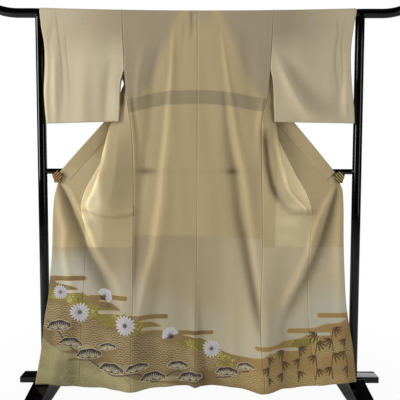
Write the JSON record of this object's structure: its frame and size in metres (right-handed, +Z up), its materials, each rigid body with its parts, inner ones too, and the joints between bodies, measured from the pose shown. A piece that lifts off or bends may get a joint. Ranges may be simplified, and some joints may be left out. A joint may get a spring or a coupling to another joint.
{
  "type": "tomesode kimono on a display stand",
  "caption": "Lined silk tomesode kimono hung back-to-front over the rail of a black lacquered kimono stand, its fronts swung open and clipped to the crossbar.",
  "frame": {"origin": "on the floor, midway between the two feet of the stand", "axes": "+Z up; +X along the top rail, to the right of a viewer who faces the garment's back; +Y away from that viewer"},
  "size_m": [1.8244, 0.48, 1.7015],
  "materials": {
    "silk": "beige silk crepe with a soft sheen, cream lining, and a hem design in gold, cream and brown",
    "lacquer": "glossy black lacquer",
    "clip_gilt": "gold-brown with raised diagonal ribs",
    "clip_pin": "plain pivot pin"
  },
  "bodies": {
    "root": {"body_left": "silk", "body_right": "silk", "sleeve_left": "silk", "sleeve_right": "silk", "okumi_left": "silk", "okumi_right": "silk", "collar": "silk", "top_rail": "lacquer", "upright_left": "lacquer", "upright_right": "lacquer", "crossbar": "lacquer", "lower_beam": "lacquer", "foot_left": "lacquer", "foot_right": "lacquer", "clip_jaw_front_left": "clip_gilt", "clip_jaw_rear_left": "clip_gilt", "clip_pin_left": "clip_pin", "clip_jaw_front_right": "clip_gilt", "clip_jaw_rear_right": "clip_gilt", "clip_pin_right": "clip_pin"}
  },
  "joints": []
}
